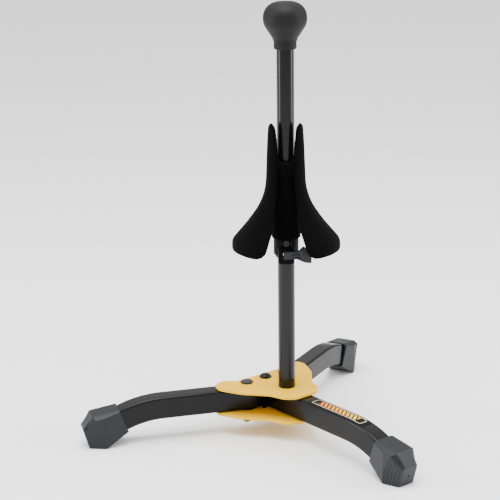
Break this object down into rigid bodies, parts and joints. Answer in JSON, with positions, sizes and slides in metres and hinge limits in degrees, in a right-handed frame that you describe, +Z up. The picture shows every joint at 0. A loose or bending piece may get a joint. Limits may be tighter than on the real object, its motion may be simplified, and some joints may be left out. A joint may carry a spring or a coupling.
{
  "type": "saxophone stand",
  "caption": "Peg stand for a small straight saxophone: folding tripod of bent tube legs, slim pole with a rubber knob, and a sliding flared velvet peg locked by a thumb lever.",
  "frame": {"origin": "on the floor, in the middle of the footprint's bounding box; the pole axis is 32 mm behind it", "axes": "+Z up along the pole, -Y along the fixed leg, X across the stand's mirror plane"},
  "size_m": [0.3494, 0.2769, 0.4116],
  "materials": {
    "yellow_paint": "satin yellow powder coat",
    "leg_paint": "semi-gloss black powder coat",
    "pole_paint": "semi-gloss dark grey coat",
    "boot_rubber": "matte dark grey moulded rubber",
    "knob_rubber": "matte dark grey moulded rubber",
    "velvet": "black flocked velvet over plastic",
    "black_plastic": "matte black nylon",
    "lever_plastic": "satin dark grey nylon",
    "nylon": "natural nylon",
    "zinc_steel": "zinc-plated steel",
    "black_bolt": "glossy black zinc",
    "dark_bolt": "dark satin coat",
    "brass_insert": "plain brass",
    "decal_print": "printed film label with a plain border, no text"
  },
  "bodies": {
    "base": {"upper_plate": "yellow_paint", "lower_plate": "yellow_paint", "fixed_leg": "leg_paint", "fixed_leg_boot": "boot_rubber", "fixed_leg_plug": "black_plastic", "leg_decal": "decal_print", "pole_bolt_sleeve": "zinc_steel", "rear_bolt_sleeve": "zinc_steel", "rear_bolt": "black_bolt", "pivot_sleeves": "zinc_steel", "pivot_bolts": "dark_bolt", "cap_nuts": "black_bolt", "leg_washers": "black_plastic", "leg_stops": "black_plastic", "pole_bolt": "black_bolt", "pole_bolt_washer": "zinc_steel", "pole": "pole_paint", "pole_foot": "zinc_steel", "pole_knob": "knob_rubber"},
    "left_leg": {"left_leg": "leg_paint", "left_leg_boot": "boot_rubber", "left_leg_bush": "black_plastic"},
    "right_leg": {"right_leg": "leg_paint", "right_leg_boot": "boot_rubber", "right_leg_bush": "black_plastic"},
    "peg_guide": {"peg_guide": "nylon"},
    "peg": {"peg_petals": "velvet", "clamp_collar": "black_plastic", "collar_screw": "black_bolt", "clamp_nut": "brass_insert"},
    "clamp_pad": {"clamp_pad": "black_plastic"},
    "clamp_lever": {"clamp_lever": "lever_plastic", "clamp_screw": "zinc_steel"}
  },
  "joints": [
    {"name": "left_leg_swivel", "type": "hinge", "parent": "base", "child": "left_leg", "pos_m": [-0.0233, 0.0643, 0.033], "axis": [0, 0, 1], "range_deg": [0, 113]},
    {"name": "right_leg_swivel", "type": "hinge", "parent": "base", "child": "right_leg", "pos_m": [0.0233, 0.0643, 0.033], "axis": [0, 0, -1], "range_deg": [0, 113]},
    {"name": "peg_height", "type": "slide", "parent": "base", "child": "peg_guide", "axis": [0, 0, 1], "range_m": [-0.115, 0.07]},
    {"name": "peg_turn", "type": "hinge", "parent": "peg_guide", "child": "peg", "pos_m": [0, 0.032, 0.262], "axis": [0, 0, 1], "continuous": true},
    {"name": "clamp_pad_slide", "type": "slide", "parent": "peg", "child": "clamp_pad", "axis": [-0.6347, -0.7727, 0], "range_m": [0, 0.00052]},
    {"name": "lever_turn", "type": "hinge", "parent": "peg", "child": "clamp_lever", "pos_m": [0, 0.032, 0.1823], "axis": [-0.6347, -0.7727, 0], "range_deg": [0, 180]}
  ],
  "couplings": [
    {"joint": "clamp_pad_slide", "follows": "lever_turn", "m_per_rad": 0.00015915}
  ]
}
